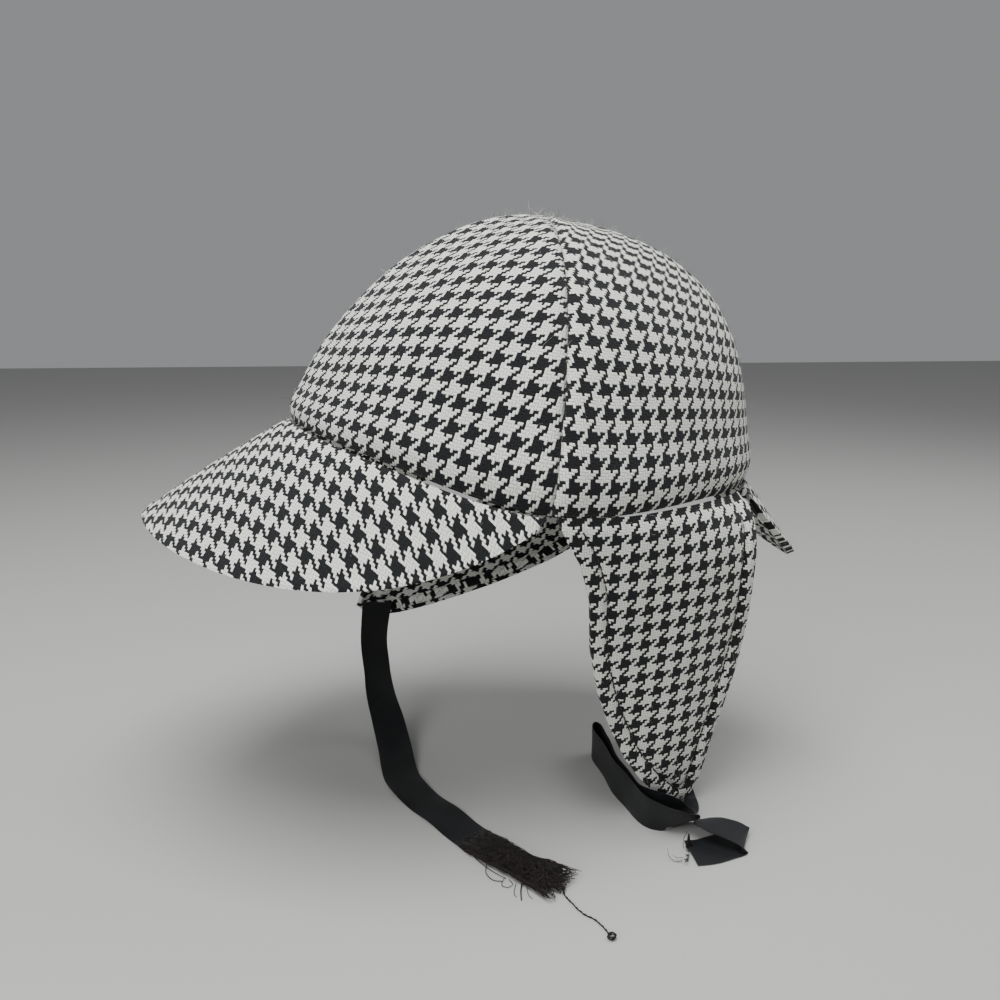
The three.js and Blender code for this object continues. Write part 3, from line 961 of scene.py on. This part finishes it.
def front_peak_point(u, v):
    end = math.radians(1.6)
    angle = lerp(-math.pi + end, -end, u)
    out_share = 1 - v
    bulge = abs(math.sin(angle))
    reach = REACH * bulge**FULLNESS
    rim = rim_point(angle)
    out = Vector((math.cos(angle) * (1 - FORWARD), math.sin(angle) * (1 - FORWARD) - FORWARD))
    out.normalize()
    slope = math.tan(lerp(math.radians(55.5), math.radians(39.7), bulge**2))
    fall = reach * slope * lerp(out_share, out_share**2, 0.15)
    at = Vector((out.x, out.y, 0)) * (reach * out_share) + rim
    return WORN_TIP @ Vector((at.x, at.y, at.z - 0.7 - fall))


def bias(plan, slant):
    """Places in the check for cloth that is cut at 45 degrees to the front."""
    flat = plan + slant
    half = math.sqrt(0.5) / REPEAT
    return ((flat.x - flat.y) * half, (flat.x + flat.y) * half)


def peak_weave(point):
    """The peak's cloth, unrolled outward from the rim."""

    def weave(u, v):
        rim, at = point(u, 1), point(u, v)
        out = Vector((at.x - rim.x, at.y - rim.y))
        if out.length > 1e-6:
            out = out.normalized() * (at - rim).length
        return bias(Vector((rim.x, rim.y)), out)

    return weave


def front_peak_relief(u, v):
    from_edge = v * PEAK_DEPTH
    from_rim = (1 - v) * PEAK_DEPTH
    ends = min(u, 1 - u) * PEAK_EDGE
    at = front_peak_point(u, v)
    rolled = 0.45 * math.exp(-(((from_edge - 2.6) / 2.2) ** 2)) * min(1.0, ends / 25)
    tuck = -0.9 * math.exp(-((from_rim / 2.5) ** 2))
    return rolled + tuck + 0.5 * noise.noise(at * 0.03) * min(1.0, from_edge / 12)


cloth_piece(
    "front_peak", front_peak_point, peak_weave(front_peak_point), 190, 44, PEAK_THICK,
    front_peak_relief, 1.1, 3000, "front_peak",
)

# ---- Rear peak ---------------------------------------------------------------------------
# Short and steep, made as the front one is, and sewn to the back of the rim between the
# two ear flaps.
REAR_PEAK_DEPTH = 42


def rear_peak_point(u, v):
    angle = math.radians(lerp(67, 113, u))
    reach = 2 + 27.6 * math.sin(math.pi * u) ** 0.55
    rim = rim_point(angle)
    out = (1 - v) * reach
    at = Vector((rim.x + math.cos(angle) * out, rim.y + math.sin(angle) * out, rim.z))
    at.z -= 0.7 + out * math.tan(math.radians(46.8))
    return WORN_TIP @ at


def rear_peak_relief(u, v):
    from_edge, from_rim = v * REAR_PEAK_DEPTH, (1 - v) * REAR_PEAK_DEPTH
    return 0.4 * math.exp(-(((from_edge - 2.6) / 2.2) ** 2)) - 0.8 * math.exp(
        -((from_rim / 2.5) ** 2)
    )


cloth_piece(
    "rear_peak", rear_peak_point, peak_weave(rear_peak_point), 56, 26, PEAK_THICK,
    rear_peak_relief, 1.1, 700, "rear_peak",
)

# ---- Ear flaps ---------------------------------------------------------------------------
# Two layers of the cloth, bagged out and topstitched 7 mm inside the edge with black thread.
# They hang from the rim behind the side seams; the right one is swung forward.
FLAP_THICK = 2.8
FLAP_LENGTH = 139
FLAP_SETTLE = 14
FLAP_HEADING = math.radians(-5)
FLAP_RADIUS = 213
STITCH_INSET = 7
THREAD_STEP = 0.8  # a stitch is three of these long, with one between it and the next
# Drop below the rim, then where the front and rear edges are along it.
FLAP_ROWS = [
    (0, 1.5, 100), (8, 5, 97), (18, 11, 95), (33, 15.6, 92.5), (55, 17.5, 91), (75, 22, 89),
    (95, 29.5, 84.5), (110, 36.5, 80.5), (122, 44.5, 78), (132, 53, 75.3), (139, 61.5, 71),
]
LEFT_HANG = {
    "side": 1, "lean": 13, "top": 0.7, "tip": 0.7, "swing": (0, 0), "turn": 0, "ripple": 1.2,
}
RIGHT_HANG = {
    "side": -1, "lean": 2, "top": 0.7, "tip": 1, "swing": (-137, 60), "turn": 40, "ripple": 2.4,
}

rim_line = [(0.0, WORN_TIP @ rim_point(0))]
for k in range(1, 221):
    spot = WORN_TIP @ rim_point(math.radians(k / 2))
    rim_line.append((rim_line[-1][0] + (spot - rim_line[-1][1]).xy.length, spot))


def rim_at(along):
    k = next(i for i, (length, _) in enumerate(rim_line) if i > 0 and length >= along)
    (a, before), (b, after) = rim_line[k - 1], rim_line[k]
    return before.lerp(after, (along - a) / (b - a))


def flap_edges(drop):
    """Front and rear edge at a drop: straight between the rows, and rounded at the tip."""
    k = next((i for i, row in enumerate(FLAP_ROWS) if i > 0 and row[0] >= drop), len(FLAP_ROWS) - 1)
    low, high = FLAP_ROWS[k - 1], FLAP_ROWS[k]
    t = (drop - low[0]) / (high[0] - low[0])
    return lerp(low[1], high[1], t), lerp(low[2], high[2], t)


def flap_point(hang, along, drop):
    v = drop / FLAP_LENGTH
    front, rear = flap_edges(drop)
    from_middle = along - (front + rear) / 2
    rim, seam = rim_at(along), rim_at(0)
    heading = FLAP_HEADING + along / FLAP_RADIUS
    centre_x = seam.x - FLAP_RADIUS * math.cos(FLAP_HEADING)
    centre_y = seam.y - FLAP_RADIUS * math.sin(FLAP_HEADING)
    share = lerp(hang["top"], hang["tip"], v) * (1 - math.exp(-drop / FLAP_SETTLE))
    turn = math.radians(hang["turn"]) * v**1.3
    carried = hang["swing"][0] * v**1.4 - from_middle * (1 - math.cos(turn))
    flat_y = centre_y + FLAP_RADIUS * math.sin(heading)
    flat_x = centre_x + math.sqrt(FLAP_RADIUS**2 - (flat_y + carried - centre_y) ** 2)
    ripple = hang["ripple"] * v * math.sin(math.tau * along / 62 + 2 * v)
    lean = math.radians(hang["lean"])
    x = lerp(rim.x, flat_x, share) - math.sin(lean) * drop + ripple
    lift = hang["swing"][1] * v**1.4 - from_middle * math.sin(turn)
    z = rim.z - 0.5 - math.cos(lean) * drop + lift
    return Vector((hang["side"] * x, lerp(rim.y, flat_y, share) + carried, z))


def flap_spot(u, v):
    """Where along the rim and how far down a place on the flap is."""
    drop = (1 - v) * FLAP_LENGTH
    front, rear = flap_edges(drop)
    return lerp(front, rear, u), drop


def inset_from_edge(along, drop):
    """Distance in from the flap's outline, the sewn top edge left out."""
    near, place = 99.0, Vector((along, drop))
    for low, high in zip(FLAP_ROWS, FLAP_ROWS[1:]):
        for column in (1, 2):
            a = Vector((low[column], low[0]))
            b = Vector((high[column], high[0]))
            t = max(0.0, min(1.0, (place - a).dot(b - a) / (b - a).length_squared))
            near = min(near, (a.lerp(b, t) - place).length)
    last = FLAP_ROWS[-1]
    if last[1] < along < last[2]:
        near = min(near, last[0] - drop)
    return near


def ear_flap(name, hang):
    left = hang["side"] > 0

    def point(u, v):
        return flap_point(hang, *flap_spot(u if left else 1 - u, v))

    def weave(u, v):
        along, drop = flap_spot(u if left else 1 - u, v)
        return (along / REPEAT * (1 if left else -1), -drop / REPEAT + 0.3)

    def relief(u, v):
        along, drop = flap_spot(u if left else 1 - u, v)
        inset = inset_from_edge(along, drop)
        groove = -1.05 * math.exp(-(((inset - STITCH_INSET) / 1.2) ** 2)) * min(1.0, drop / 6)
        hem = 0.45 * math.exp(-(((inset - 3.6) / 2) ** 2))
        soft = 0.7 * noise.noise(Vector((along * 0.045, drop * 0.03, 5 * hang["side"])))
        tuck = -1.6 * math.exp(-((drop / 3.5) ** 2))
        return groove + hem + soft + tuck

    flap = cloth_piece(name, point, weave, 66, 104, FLAP_THICK, relief, 1.0, 1900, name)

    # Topstitching: walk the outline, move in, and lay one short thread for each stitch.
    outline = [Vector((row[1], row[0])) for row in FLAP_ROWS[1:]]
    outline += [Vector((row[2], row[0])) for row in reversed(FLAP_ROWS[1:])]
    inner = []
    for k, corner in enumerate(outline):
        run = (outline[min(k + 1, len(outline) - 1)] - outline[max(k - 1, 0)]).normalized()
        inner.append((corner + Vector((-run.y, run.x)) * -STITCH_INSET).to_4d())
    for k, corner in enumerate(inner):
        corner.z, corner.w = 0, k
    around = sum((b - a).length for a, b in zip(outline, outline[1:]))
    line, _ = smooth_route(inner, int(around / THREAD_STEP))
    shape = bmesh.new()
    for k in range(1, len(line) - 4, 4):
        points = []
        for m in range(4):
            along, drop = line[k + m].x, line[k + m].y
            at = flap_point(hang, along, drop)
            beside = flap_point(hang, along + 0.5, drop) - at
            below = flap_point(hang, along, drop + 0.5) - at
            out = below.cross(beside).normalized() * hang["side"]
            front, rear = flap_edges(drop)
            u = (along - front) / (rear - front)
            height = relief(u if left else 1 - u, 1 - drop / FLAP_LENGTH)
            points.append(at + out * (height + (0.16, 0.3, 0.3, 0.16)[m]))
        strand(shape, points, 0.3, sides=6)
    stitches = finish_piece(
        name + "_topstitching", threads_mesh(name + "_topstitching", shape), sewing_thread,
        slot="houndstooth_wool",
    )
    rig.sheet(
        flap, flat=(0.0985, 0.139), held="hung", area=0.0087,
        rests_on=["crown_panel_back_left" if left else "crown_panel_back_right"],
        with_pieces=[stitches],
    )


sewing_thread = thread_material("sewing thread", (0.008, 0.008, 0.009), (0.03, 0.03, 0.032))
ear_flap("ear_flap_left", LEFT_HANG)
ear_flap("ear_flap_right", RIGHT_HANG)

# ---- Table and light ---------------------------------------------------------------------
# A plain pale table top, a large soft light overhead and a weaker one at the front.
bpy.ops.object.select_all(action="DESELECT")
bpy.ops.mesh.primitive_plane_add(size=6, location=(0, 0, TABLE * MM))
table = bpy.context.object
table.name = "table"
table_top, nodes, links, skin = shade("table top", 0.8)
skin.inputs["Base Color"].default_value = (0.42, 0.42, 0.41, 1)
table.data.materials.append(table_top)
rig.stage(table)

backdrop = bpy.data.worlds.new("studio")
backdrop.use_nodes = True
backdrop.node_tree.nodes["Background"].inputs[0].default_value = (0.6, 0.61, 0.62, 1)
backdrop.node_tree.nodes["Background"].inputs[1].default_value = 0.45
bpy.context.scene.world = backdrop
# Place, size and power of each lamp, all aimed at the hat.
for name, place, size, power in (
    ("overhead", (0.25, -0.1, 0.9), 0.7, 15),
    ("front", (0.7, -0.7, 0.4), 0.6, 6),
    ("back", (-0.2, 0.8, 0.6), 0.6, 3),
):
    lamp = bpy.data.lights.new(name, "AREA")
    lamp.size = size
    lamp.energy = power
    lit = bpy.data.objects.new(name, lamp)
    lit.location = place
    lit.rotation_euler = (Vector((0, 0, -0.02)) - Vector(place)).to_track_quat("-Z", "Y").to_euler()
    bpy.context.scene.collection.objects.link(lit)

with open("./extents.json", "w") as size_file:
    json.dump(
        {
            "cad": [list(corner) for corner in cad_box],
            "visual": [list(corner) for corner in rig.bounds()],
        },
        size_file,
    )
